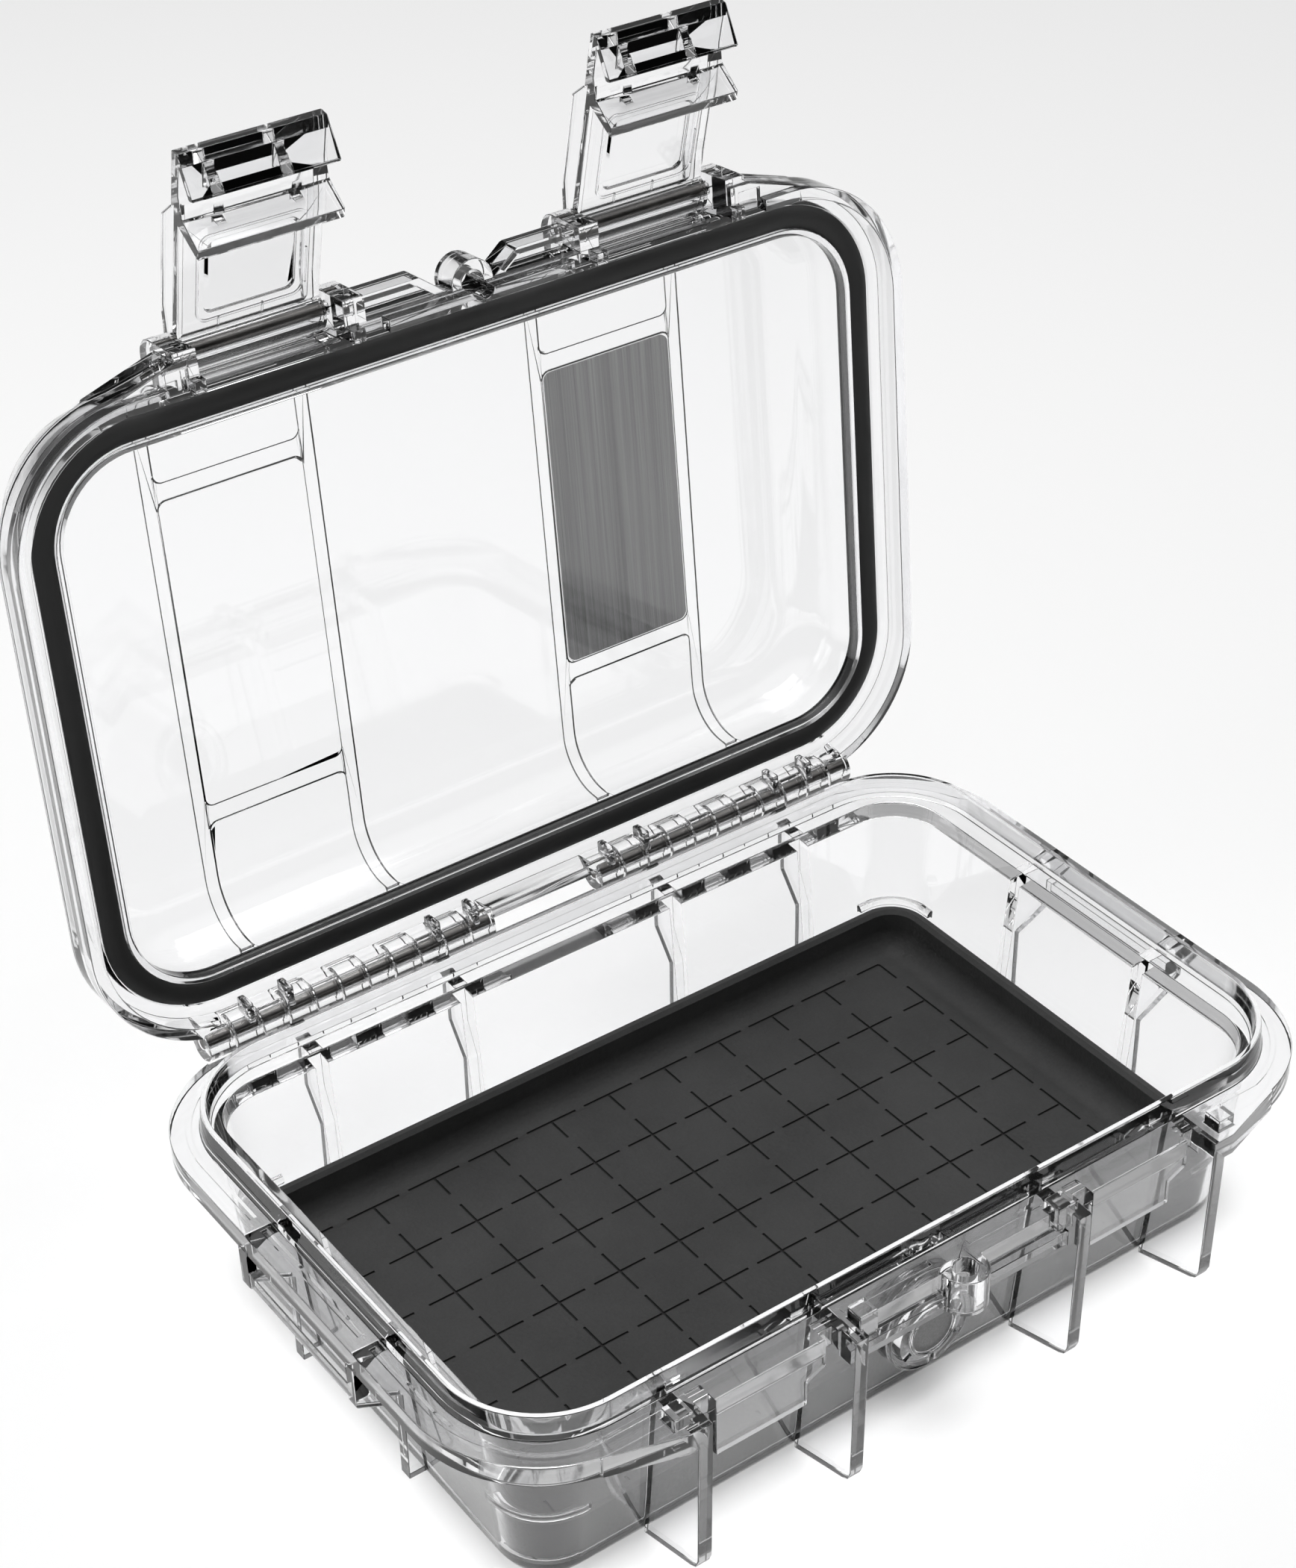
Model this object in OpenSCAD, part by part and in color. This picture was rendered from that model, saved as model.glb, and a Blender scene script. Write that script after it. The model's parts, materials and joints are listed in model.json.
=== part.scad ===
// Small waterproof hard case: a clear tub and a clear domed lid on a rear hinge, closed by two
// front latches. Lengths are in millimetres. +X runs along the length, -Y is the latch side and
// +Z is up. The origin is on the ground under the middle of the tub. The lid is drawn in its
// closed place and then swung open about the hinge pins.

/* [Case] */
// Length over the rim
case_l = 216; // [212:1:230]
// Depth over the rim, front to back
case_w = 144; // [142:1:156]
// Height of the flat rim above the ground
rim_z = 44.2; // [43.5:0.1:52]
// Corner radius of the rim, seen from above
rim_r = 29.5; // [27:0.5:34]
// Depth of the band round the rim
flange_t = 5.2; // [4:0.1:6]
// Angle the lid stands open
open_deg = 95; // [0:1:100]

/* [Tub] */
// Wall thickness of the tub
wall = 2.6; // [2.2:0.1:3]
// Thickness of the tub's bottom
floor_t = 2.5; // [2:0.1:3.5]
// How far the tub's wall stands inside the rim's edge, at the top
rim_over = 10.3; // [9.5:0.1:11]
// How far the wall leans inwards from the rim to the bottom
draft = 4.4; // [3:0.1:5.5]
// Corner radius of the tub's wall at the rim
tub_r = 15.6; // [14:0.1:18]
// Rounding of the tub's bottom edge
foot_r = 3; // [2:0.1:4]

/* [Seal] */
// Distance of the sealing ridge from the rim's edge
ridge_in = 7.5; // [7:0.1:8]
// Width of the sealing ridge at its root
ridge_w = 2.4; // [2:0.1:3]
// Height of the sealing ridge above the rim
ridge_h = 5.7; // [5:0.1:6.5]
// Width of the gasket
gasket_w = 5.1; // [4:0.1:5.4]
// Thickness of the gasket
gasket_t = 3.2; // [2.4:0.1:3.6]
// Radius of the gasket's crowned face
gasket_round = 4.1; // [3.6:0.1:8]
// Gap between ridge and gasket with the lid down
seal_gap = 0.3; // [0.3:0.1:0.8]

/* [Liner] */
// Thickness of the rubber liner's floor
liner_t = 3; // [2:0.1:4]
// Height of the liner's lip above the ground
liner_lip_z = 16.2; // [13:0.1:16.4]
// Width of the liner's lip
liner_lip_w = 3; // [2.4:0.1:3.6]
// Radius of the cove between the liner's floor and its side
cove_r = 5.4; // [3:0.1:5.6]
// Pitch of the grid on the liner's floor
grid = 15.7; // [13:0.1:15.8]
// Width of the grid's grooves
groove_w = 0.6; // [0.4:0.05:1]
// Depth of the grid's grooves
groove_t = 0.4; // [0.2:0.05:0.8]
// Gap between two dashes of the grid
dash_gap = 2.4; // [1:0.1:5]

/* [Lid] */
// Wall thickness of the lid
lid_wall = 2.5; // [2:0.1:3]
// Outer height of the closed lid's flat top
lid_top_z = 75.4; // [72:0.1:82]
// Rounding of the dome's upper edge
dome_r = 14; // [10:0.5:16]
// Height that the raised bands stand out
band_h = 0.8; // [0.5:0.1:1.2]
// Distance of the bands' middle from the lid's middle
band_x = 47.5; // [46:0.5:50]
// Width of a band
band_w = 40.4; // [36:0.2:41]
// Length of the middle panel in a band
panel_l = 72.6; // [60:0.2:76]
// Width of a band's rails beside its panels
rail_w = 3; // [2:0.1:4]
// Width of the cross bars between a band's panels
cross_w = 4; // [2.5:0.1:6]
// Thickness of the metal nameplate
plate_t = 0.6; // [0.4:0.1:0.8]

/* [Hinge] */
// Distance of the hinge axis behind the rim's edge
hinge_out = 1.6; // [1.5:0.1:2.4]
// Height of the hinge axis above the rim
hinge_up = 2.9; // [2.7:0.1:3.4]
// Diameter of the hinge pins
hinge_pin_d = 2.6; // [2:0.1:3]
// Diameter of the hinge barrels
barrel_d = 8.4; // [7.6:0.1:8.6]
// Clear length between the two hinge groups
hinge_gap = 28.4; // [24:0.2:36]
// How far each hinge group runs on round the rim's corner
hinge_over = 8.7; // [5:0.1:9.2]
// Gap between neighbouring barrels
barrel_gap = 0.4; // [0.3:0.05:0.6]

/* [Latches] */
// Distance of each latch's middle from the case's middle
latch_x = 47.2; // [46:0.2:48.6]
// Width of a latch
latch_w = 32.2; // [28:0.2:33]
// How far the catches hang below the rim
catch_h = 14.4; // [12:0.1:15.5]
// Length of a latch from its hook to its tip
pull_l = 18.6; // [16:0.1:20]
// Thickness of a latch's plate
latch_t = 2.6; // [2:0.1:3]
// Diameter of the latch pins
latch_pin_d = 2.6; // [2:0.1:3]
// Height of the latch pins above the rim, lid closed
latch_pin_up = 13.6; // [13:0.1:14.4]
// Distance of the latch pins in front of the rim's edge
latch_pin_out = 1.5; // [1.3:0.1:2]
// Angle a latch swings from standing open to its catch
latch_deg = 72; // [0:1:95]
// Reach of the latch's hook behind the catch
hook_n = 8.2; // [7.4:0.1:8.6]

/* [Fins and lugs] */
// Distance of the outer fins from the case's middle
fin_x_out = 65.6; // [65.4:0.1:67]
// Distance of the inner fins from the case's middle
fin_x_in = 28.5; // [27:0.1:28.6]
// Thickness of a fin
fin_t = 3.4; // [2.6:0.1:3.4]
// How far the fins and flared rim stand out in front of the rim's edge
fin_out = 4.5; // [3:0.1:5]
// Height of the fins' lower front corners above the ground
fin_z = 5.2; // [2:0.1:12]
// Thickness of the ribs on the tub's walls
rib_t = 3; // [2:0.1:3.6]
// Half distance between the two lugs of a side bar
side_y = 20.4; // [16:0.2:26]
// Diameter of the padlock holes
lock_d = 5.2; // [4:0.1:5.6]
// Outer diameter of the padlock eyes
lock_eye_d = 10; // [9.6:0.1:11]

/* [Purge valve] */
// Height of the valve's middle above the ground
valve_z = 20.4; // [19.6:0.1:23]
// Diameter of the valve's round seat
valve_seat_d = 21; // [19:0.2:23]
// Diameter of the valve's cap
valve_cap_d = 17; // [15:0.2:18]
// Diameter of the valve's stem
valve_stem_d = 5.4; // [4:0.1:6]

/* [Hidden] */
$fn = 20;
fn_small = 14;
eps = 0.01;
// Radial clearance of a pin in its bore, and the gap between pieces that only lie together
run = 0.05;
fit = 0.3;

// Half sizes of the rim and of the corner centres
rim_a = case_l / 2;
rim_b = case_w / 2;
rim_cx = rim_a - rim_r;
rim_cy = rim_b - rim_r;
tub_a = rim_a - rim_over;
tub_b = rim_b - rim_over + 0.75;
tub_cx = tub_a - tub_r;
tub_cy = tub_b - tub_r;
flange_z = rim_z - flange_t;

// Inner face of the tub: distance from the corner centre at a height
function tub_in(z) = tub_r - wall - draft * (rim_z - z) / rim_z;
function tub_out(z) = tub_r - draft * (rim_z - z) / rim_z;

// Face of the liner's floor
liner_z = floor_t + liner_t;

// Seal
ridge_d = rim_r - ridge_in;
ridge_z = rim_z + ridge_h;
gasket_z = ridge_z + seal_gap;
gasket_d0 = ridge_d - gasket_w / 2;
gasket_d1 = ridge_d + gasket_w / 2;

// Drain groove in the rim, outside the ridge
drain_w = 1.2;
drain_t = 0.5;
drain_d = ridge_d + 2.9;

// Lid, in its closed place
lid_z = rim_z + 0.5;
lid_r = rim_r + 0.5;
groove_z = gasket_z + gasket_t + run;
shelf_z = groove_z + 2.2;
dome_d = gasket_d1 - 0.3;
band_foot_y = rim_cy + dome_d + 2.2;
foot_t = 3.4;
foot_flare = 3;
skirt_t = 2.8;
groove_wall = 1.6;

// Hinge and latch axes, lid closed
hinge_y = rim_b + hinge_out;
hinge_z = rim_z + hinge_up;
barrel_r = barrel_d / 2;
knuckles = 11;
hinge_x0 = hinge_gap / 2;
hinge_l = rim_cx + hinge_over - hinge_x0;
knuckle = hinge_l / knuckles;
latch_y = -rim_b - latch_pin_out;
latch_z = rim_z + latch_pin_up;
latch_barrel_r = 4;

// Catch under the rim: a hanging panel that the hook reaches round
hook_u = latch_pin_up + catch_h - 0.7;
latch_l = hook_u + pull_l;
catch_z = rim_z - catch_h;
catch_y1 = -rim_b - 0.4;
catch_t = 2.4;
catch_w = 26.2;
front_y = -rim_b - fin_out;
lug_w = 5;
eye_y = -rim_b - 1;
side_x = rim_a - 1.4;

// Posts on the rim: width, height above it, depth of the root in it, room in the lid's pockets
post = 4.4;
post_h = 3;
post_root = 3;
post_fit = 0.5;

// Ribs on the walls: start above the ground, how far they stand out, and the step under the rim
rib_z = 4;
rib_out = 0.4;
rib_flare = 6;
rib_step = 9;
keeper_l = 18;
valve_face_y = -tub_b + 1.2;

// Rounded rectangle from its corner centres and a radius
module plan(cx, cy, r) {
    square([2 * (cx + r), 2 * cy], center = true);
    square([2 * cx, 2 * (cy + r)], center = true);
    for (x = [-cx, cx], y = [-cy, cy]) translate([x, y]) circle(r = r);
}

// A profile (distance outwards, height) carried round four corner centres
module around(cx, cy) {
    for (k = [0:3]) {
        sx = (k == 0 || k == 3) ? 1 : -1;
        sy = k < 2 ? 1 : -1;
        translate([sx * cx, sy * cy, 0]) rotate([0, 0, 90 * k]) rotate_extrude(angle = 90) children();
    }
    for (m = [0, 1]) mirror([0, m, 0])
        translate([-cx, cy, 0]) rotate([90, 0, 90]) linear_extrude(2 * cx) children();
    for (m = [0, 1]) mirror([m, 0, 0])
        translate([cx, cy, 0]) rotate([90, 0, 0]) linear_extrude(2 * cy) children();
}

// A solid body with such a profile: the profile starts at distance 0 and fills z0 to z1 there
module body(cx, cy, z0, z1) {
    around(cx, cy) children();
    translate([-cx, -cy, z0]) cube([2 * cx, 2 * cy, z1 - z0]);
}

// A plate in the Y-Z plane, centred on x
module slab_x(x, t) {
    translate([x - t / 2, 0, 0]) rotate([90, 0, 90]) linear_extrude(t) children();
}

// A cylinder along X
module rod_x(x0, x1, y, z, r) {
    translate([x0, y, z]) rotate([0, 90, 0]) cylinder(r = r, h = x1 - x0, $fn = fn_small);
}

// The lid's place: closed, swung open about the hinge
module on_lid() {
    translate([0, hinge_y, hinge_z]) rotate([-open_deg, 0, 0]) translate([0, -hinge_y, -hinge_z])
        children();
}

// A latch's place on the lid, from its own frame: origin on the pin, closed, hanging down
module on_latch(side) {
    on_lid() translate([side * latch_x, latch_y, latch_z]) rotate([-latch_deg, 0, 0]) children();
}

// Start of barrel k of a hinge group, for the right-hand group
function barrel_x(k) = hinge_x0 + k * knuckle;

module hinge_barrels(first) {
    for (m = [0, 1]) mirror([m, 0, 0]) for (k = [first:2:knuckles - 1])
        rod_x(barrel_x(k) + barrel_gap / 2, barrel_x(k + 1) - barrel_gap / 2, hinge_y, hinge_z, barrel_r);
}

// Room along a whole group for the other half's barrels
module hinge_room(inset) {
    for (m = [0, 1]) mirror([m, 0, 0])
        rod_x(hinge_x0 + inset, hinge_x0 + hinge_l - inset, hinge_y, hinge_z, barrel_r + barrel_gap);
}

module hinge_bores() {
    for (m = [0, 1]) mirror([m, 0, 0])
        rod_x(hinge_x0 - 1, hinge_x0 + hinge_l + 1, hinge_y, hinge_z, hinge_pin_d / 2 + run);
}

module tub_profile_out() {
    polygon([[0, 0], [tub_out(0) - foot_r, 0], [tub_out(foot_r * 0.3) - foot_r * 0.3, foot_r * 0.3],
        [tub_out(foot_r), foot_r], [tub_out(flange_z), flange_z], [tub_out(rim_z), rim_z], [0, rim_z]]);
}

module tub_profile_in() {
    polygon([[0, floor_t], [tub_in(floor_t) - 2, floor_t], [tub_in(floor_t + 2), floor_t + 2],
        [tub_in(rim_z + 1), rim_z + 1], [0, rim_z + 1]]);
}

// Band round the rim, with the ridge that presses into the gasket
module rim_band() {
    difference() {
        translate([0, 0, flange_z]) linear_extrude(flange_t) difference() {
            plan(rim_cx, rim_cy, rim_r);
            plan(tub_cx, tub_cy, tub_r - wall / 2);
        }
        for (m = [0, 1]) mirror([m, 0, 0])
            translate([latch_x - latch_w / 2 - fit, -rim_b - 1, flange_z - 1])
                cube([latch_w + 2 * fit, 1 + 2, flange_t + 2]);
        translate([0, 0, rim_z - drain_t]) linear_extrude(1) difference() {
            plan(rim_cx, rim_cy, drain_d + drain_w);
            plan(rim_cx, rim_cy, drain_d);
        }
    }
    around(rim_cx, rim_cy) polygon([[ridge_d - ridge_w / 2, rim_z - eps],
        [ridge_d + ridge_w / 2, rim_z - eps], [ridge_d + 0.6, ridge_z], [ridge_d - 0.6, ridge_z]]);
}

// Rim flaring forward from each corner to the outer fin
module rim_flare(z0, h, out) {
    for (m = [0, 1]) mirror([m, 0, 0]) translate([0, 0, z0]) linear_extrude(h)
        polygon([[fin_x_out - fin_t / 2, -rim_b + 4], [fin_x_out - fin_t / 2, -rim_b - out],
            [fin_x_out + fin_t / 2 + 2, -rim_b - out], [fin_x_out + 20, -rim_b + 0.5],
            [fin_x_out + 20, -rim_b + 4]]);
}

module fin(x) {
    slab_x(x, fin_t) polygon([[-tub_b + draft, 0.8], [front_y + 3, fin_z], [front_y + 1.5, fin_z + 0.8],
        [front_y + 0.6, fin_z + 3], [front_y, flange_z - 2], [front_y, rim_z], [-tub_b + 1, rim_z],
        [-tub_b + wall / 2, rim_z - flange_t]]);
}

// Hanging panel that a latch's hook reaches round
module catch(x) {
    translate([x, catch_y1 + catch_t, 0]) rotate([90, 0, 0]) linear_extrude(catch_t)
        polygon([[-catch_w / 2, rim_z], [-catch_w / 2, catch_z], [catch_w / 2 - 4.3, catch_z],
            [catch_w / 2 - 4.3, catch_z + 5.4], [catch_w / 2, catch_z + 7.4], [catch_w / 2, rim_z]]);
    translate([x - catch_w / 2, catch_y1, flange_z]) cube([catch_w, 12, flange_t]);
}

// Wall rib from the foot of a wall, stepping outwards from a start below the rim
module wall_rib(out, start) {
    polygon([[-wall / 2, rib_z], [draft + rib_out, rib_z], [draft + rib_out, flange_z - start],
        [draft + out, flange_z - rib_step], [draft + out, flange_z + 1], [-wall / 2, flange_z + 1]]);
}

module back_ribs() {
    for (x = [-fin_x_out, -fin_x_in, fin_x_in, fin_x_out])
        slab_x(x, rib_t) translate([tub_b - draft, 0]) wall_rib(rib_flare, rib_step + 7.5);
}

// Strap bar on each side, hung from two ribs
module side_bars() {
    bar_t = 3.4;
    bar_h = 3.6;
    bar_out = 1.4;
    for (m = [0, 1]) mirror([m, 0, 0]) {
        for (y = [-side_y, side_y]) {
            translate([0, y, 0]) rotate([90, 0, 0]) linear_extrude(rib_t, center = true)
                translate([tub_a - draft, 0]) wall_rib(side_x - tub_a + bar_out + 0.2, rib_step + 5);
            translate([side_x - post, y - post / 2, rim_z - post_root]) cube([post, post, post_root]);
        }
        translate([side_x + bar_out - bar_t, -side_y, flange_z - rib_step + 0.5])
            cube([bar_t, 2 * side_y, bar_h]);
    }
}

// Front bar between the inner fins, with the padlock eye in its middle
module centre_bar() {
    bar_t = 3;
    bar_h = 3.4;
    z = flange_z - bar_h - 0.2;
    translate([-fin_x_in, -rim_b - bar_t / 2, z]) cube([2 * fin_x_in, bar_t, bar_h]);
    translate([0, eye_y, z]) cylinder(d = lock_eye_d, h = rim_z - z);
    translate([-lock_eye_d / 2, eye_y, flange_z]) cube([lock_eye_d, -eye_y - tub_b + 2, flange_t]);
}

// Posts that line the lid up, and with a clearance the pockets for them
module posts(gap) {
    for (x = [-fin_x_out - fin_t, -fin_x_in + fin_t, fin_x_in - fin_t, fin_x_out + fin_t])
        translate([x - post / 2 - gap, -rim_b - 2.4 - gap, rim_z - post_root])
            cube([post + 2 * gap, post + 2 * gap, post_root + post_h + gap]);
}

// Short ridges that hold the liner down in the corners
module liner_keepers() {
    z = liner_lip_z + fit;
    intersection() {
        around(tub_cx, tub_cy) polygon([[tub_in(z) - 1.3, z], [tub_in(z) + wall / 2, z],
            [tub_in(z) + wall / 2, z + 2], [tub_in(z) - 0.6, z + 1.6], [tub_in(z) - 1.3, z + 0.9]]);
        for (x = [-tub_a, tub_a], y = [-tub_b, tub_b])
            translate([x - keeper_l, y - keeper_l, z - 1]) cube([2 * keeper_l, 2 * keeper_l, 5]);
    }
}

module valve_seat() {
    translate([0, -tub_b, valve_z]) rotate([-90, 0, 0]) cylinder(d = valve_seat_d, h = wall + 2);
}

module base_shell() color("whitesmoke", 0.5) {
    difference() {
        union() {
            difference() {
                union() {
                    body(tub_cx, tub_cy, 0, rim_z) tub_profile_out();
                    valve_seat();
                    for (x = [-fin_x_out, -fin_x_in, fin_x_in, fin_x_out]) fin(x);
                    back_ribs();
                    side_bars();
                    rim_band();
                }
                body(tub_cx, tub_cy, floor_t, rim_z + 1) tub_profile_in();
                hinge_room(-barrel_gap);
            }
            hinge_webs();
            hinge_barrels(1);
            liner_keepers();
            rim_flare(flange_z, flange_t, fin_out);
            centre_bar();
            posts(0);
            for (x = [-latch_x, latch_x]) catch(x);
        }
        hinge_bores();
        translate([0, eye_y, 0]) cylinder(d = lock_d, h = rim_z + 1);
        valve_holes();
    }
}

// Webs from the rim up to the base's barrels
module hinge_webs() {
    for (m = [0, 1]) mirror([m, 0, 0]) for (k = [1:2:knuckles - 1])
        slab_x(barrel_x(k) + knuckle / 2, knuckle - barrel_gap)
            polygon([[rim_b - 5, flange_z + 1], [rim_b, flange_z + 1],
                [hinge_y + barrel_r * 0.6, hinge_z - barrel_r * 0.6], [hinge_y, hinge_z],
                [hinge_y - barrel_r * 0.8, hinge_z], [hinge_y - barrel_r * 0.8, rim_z - 0.6],
                [rim_b - 5, rim_z - 0.6]]);
}

module valve_holes() {
    translate([0, -tub_b - 1, valve_z]) rotate([-90, 0, 0]) {
        cylinder(d = valve_cap_d + 2 * fit, h = valve_face_y + tub_b + 1);
        cylinder(d = valve_stem_d + 2 * run, h = 12);
    }
}

module liner_profile() {
    d1 = tub_in(liner_lip_z) - fit;
    d0 = tub_in(floor_t + 2) - fit;
    z0 = floor_t + run;
    dl = d1 - liner_lip_w;
    difference() {
        polygon([[0, z0], [d0 - 2.4, z0], [d0, z0 + 2.4], [d1, liner_lip_z - 0.9], [d1 - 0.9, liner_lip_z],
            [dl + 0.9, liner_lip_z], [dl, liner_lip_z - 0.9], [dl, liner_z + cove_r],
            [dl - cove_r, liner_z], [0, liner_z]]);
        translate([dl - cove_r, liner_z + cove_r]) circle(r = cove_r + 0.05);
    }
}

// Place of a grid line from its number: the outermost ones lie a little further out
function grid_at(i, n, rim) = grid * (abs(i) == n ? sign(i) * (n + rim) : i);

// Dashes that cross at every corner of the grid and stop short of each other between corners
module liner_grid() {
    arm = (grid - dash_gap) / 2;
    for (i = [-5:5], j = [-3:3]) translate([grid_at(i, 5, 0.08), grid_at(j, 3, 0.1)]) {
        translate([i == -5 ? 0 : -arm, -groove_w / 2])
            square([(i == -5 || i == 5 ? 1 : 2) * arm, groove_w]);
        translate([-groove_w / 2, j == -3 ? 0 : -arm])
            square([groove_w, (j == -3 || j == 3 ? 1 : 2) * arm]);
    }
}

module base_liner() color("#222222") difference() {
    body(tub_cx, tub_cy, floor_t + run, liner_z) liner_profile();
    translate([0, 0, liner_z - groove_t]) linear_extrude(2) liner_grid();
}

// Outer profile of the lid above its rim
module lid_profile_out() {
    zc = lid_top_z - dome_r;
    polygon([[0, lid_z], [lid_r, lid_z], [lid_r, shelf_z - 1.5], [lid_r - 1.5, shelf_z],
        [dome_d + 1, shelf_z], [dome_d, zc], [dome_d - dome_r + 0.1, zc],
        [dome_d - dome_r + 0.1, lid_top_z], [0, lid_top_z]]);
    intersection() {
        translate([dome_d - dome_r, zc]) circle(r = dome_r);
        translate([0, zc - eps]) square([lid_r, dome_r + 1]);
    }
}

module lid_profile_in() {
    zc = lid_top_z - dome_r;
    r = dome_r - lid_wall;
    polygon([[0, shelf_z - eps - 2], [dome_d + 1 - lid_wall, shelf_z - eps - 2], [dome_d - lid_wall, zc],
        [dome_d - dome_r + 0.1, zc], [dome_d - dome_r + 0.1, lid_top_z - lid_wall],
        [0, lid_top_z - lid_wall]]);
    intersection() {
        translate([dome_d - dome_r, zc]) circle(r = r);
        translate([0, zc - eps]) square([lid_r, dome_r + 1]);
    }
}

// Two raised bands over the dome, each of two rails and two cross bars round three sunk panels
module lid_bands() {
    difference() {
        intersection() {
            body(rim_cx, rim_cy + band_h, shelf_z, lid_top_z + band_h)
                translate([0, band_h]) lid_profile_out();
            for (x = [-band_x, band_x]) translate([x - band_w / 2, -band_foot_y, shelf_z - 0.5])
                cube([band_w, 2 * band_foot_y, lid_top_z]);
        }
        for (x = [-band_x, band_x]) translate([x, 0, shelf_z - 1]) linear_extrude(lid_top_z) band_panels();
    }
    for (x = [-band_x, band_x], side = [-1, 1], rail = [-1, 1])
        translate([x + rail * (band_w - rail_w) / 2, side * (band_foot_y - foot_t / 2), 0]) band_foot();
}

// Flared foot of a rail, where it meets the rim
module band_foot() {
    rotate([90, 0, 0]) linear_extrude(foot_t, center = true)
        polygon([[-rail_w / 2 - foot_flare, shelf_z - 0.5], [rail_w / 2 + foot_flare, shelf_z - 0.5],
            [rail_w / 2, shelf_z + 7], [-rail_w / 2, shelf_z + 7]]);
}

// Three sunk panels in a band: the middle one and two that run on down the dome
module band_panels() {
    w = band_w / 2 - rail_w - 2;
    plan(w, panel_l / 2 - 2, 2);
    for (m = [0, 1]) mirror([0, m])
        translate([0, panel_l / 2 + cross_w + rim_b / 2]) plan(w, rim_b / 2 - 2, 2);
}

// Lugs that hold the latch pins
module latch_lugs() {
    for (m = [0, 1]) mirror([m, 0, 0])
        for (x = [latch_x - latch_w / 2 - fit - lug_w, latch_x + latch_w / 2 + fit]) {
            rod_x(x, x + lug_w, latch_y, latch_z, latch_barrel_r + 0.6);
            translate([x, latch_y - latch_barrel_r - 0.6, lid_z + 3])
                cube([lug_w, latch_barrel_r + 10, latch_z - lid_z - 3]);
            translate([x, latch_y, latch_z - 2]) cube([lug_w, 8, latch_barrel_r + 2.6]);
        }
}

// Rails from the latch lugs along the lid's front, bent in to the padlock eye
module lid_front_rails() {
    rail_t = 1.6;
    plate = 1.4;
    z = lid_z + 5;
    x0 = lock_eye_d / 2 - 1.2;
    x1 = x0 + 7.8;
    x2 = latch_x - latch_w / 2 - fit - 1;
    y0 = -rim_b + 1;
    y1 = y0 - 6;
    for (m = [0, 1]) mirror([m, 0, 0]) {
        translate([0, 0, z]) linear_extrude(shelf_z - z)
            polygon([[x2, y1], [x2, y1 + rail_t], [x1 + rail_t / 2, y1 + rail_t], [x0 + rail_t + 1, y0],
                [x0, y0], [x1, y1]]);
        translate([0, 0, shelf_z - plate]) linear_extrude(plate)
            polygon([[x2, y1], [x2, y0], [x0 + rail_t - 0.4, y0], [x1, y1]]);
    }
}

// Webs from the lid's shelf down to its barrels
module lid_hinge_webs() {
    for (m = [0, 1]) mirror([m, 0, 0]) for (k = [0:2:knuckles - 1])
        slab_x(barrel_x(k) + knuckle / 2, knuckle - barrel_gap)
            polygon([[rim_b - 6, hinge_z], [hinge_y, hinge_z],
                [hinge_y + barrel_r * 0.85, hinge_z + barrel_r * 0.4], [rim_b - 0.5, shelf_z - 1.6],
                [rim_b - 6, shelf_z - 1.6]]);
}

module lid_shell() color("whitesmoke", 0.5) on_lid() difference() {
    union() {
        difference() {
            union() {
                body(rim_cx, rim_cy, lid_z, lid_top_z) lid_profile_out();
                lid_bands();
                rim_flare(lid_z + 2, shelf_z - lid_z - 2, fin_out);
            }
            hinge_room(knuckle / 2);
            lid_latch_room();
        }
        lid_hinge_webs();
        latch_lugs();
        lid_front_rails();
        hinge_barrels(0);
        translate([0, eye_y, lid_z + 4]) cylinder(d = lock_eye_d, h = shelf_z - lid_z - 4);
    }
    body(rim_cx, rim_cy, shelf_z - 2.01, lid_top_z - lid_wall) lid_profile_in();
    translate([0, 0, lid_z - 1]) linear_extrude(groove_z - lid_z + 1) lid_groove();
    translate([0, 0, lid_z - 1]) linear_extrude(gasket_z - lid_z + 1)
        plan(rim_cx, rim_cy, lid_r - skirt_t);
    translate([0, 0, lid_z - 1]) linear_extrude(shelf_z - lid_z + 1)
        plan(rim_cx, rim_cy, gasket_d0 - groove_wall);
    posts(post_fit);
    hinge_bores();
    for (m = [0, 1]) mirror([m, 0, 0])
        rod_x(latch_x - latch_w / 2 - lug_w - 1, latch_x + latch_w / 2 + lug_w + 1, latch_y, latch_z,
            latch_pin_d / 2 + run);
    translate([0, eye_y, 0]) cylinder(d = lock_d, h = lid_top_z);
}

module lid_groove() {
    difference() {
        plan(rim_cx, rim_cy, gasket_d1 + run);
        plan(rim_cx, rim_cy, gasket_d0 - run);
    }
}

// Room in the lid's rim for the latch's barrel and plate
module lid_latch_room() {
    for (m = [0, 1]) mirror([m, 0, 0])
        translate([latch_x - latch_w / 2 - fit, -rim_b - 10, lid_z - 1])
            cube([latch_w + 2 * fit, 10 + rim_b + latch_y + latch_barrel_r + 0.4, 22]);
}

// Gasket with a crowned face towards the ridge
module lid_gasket() color("#1c1c1c") on_lid() around(rim_cx, rim_cy) intersection() {
    translate([gasket_d0, gasket_z - 1]) square([gasket_w, gasket_t + 1]);
    translate([ridge_d, gasket_z + gasket_round]) circle(r = gasket_round);
}

module nameplate() color("#777777") on_lid() {
    translate([band_x, 0, lid_top_z + eps]) linear_extrude(plate_t)
        plan(band_w / 2 - rail_w - 2 - 0.5, panel_l / 2 - 2 - 0.5, 2);
}

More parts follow.
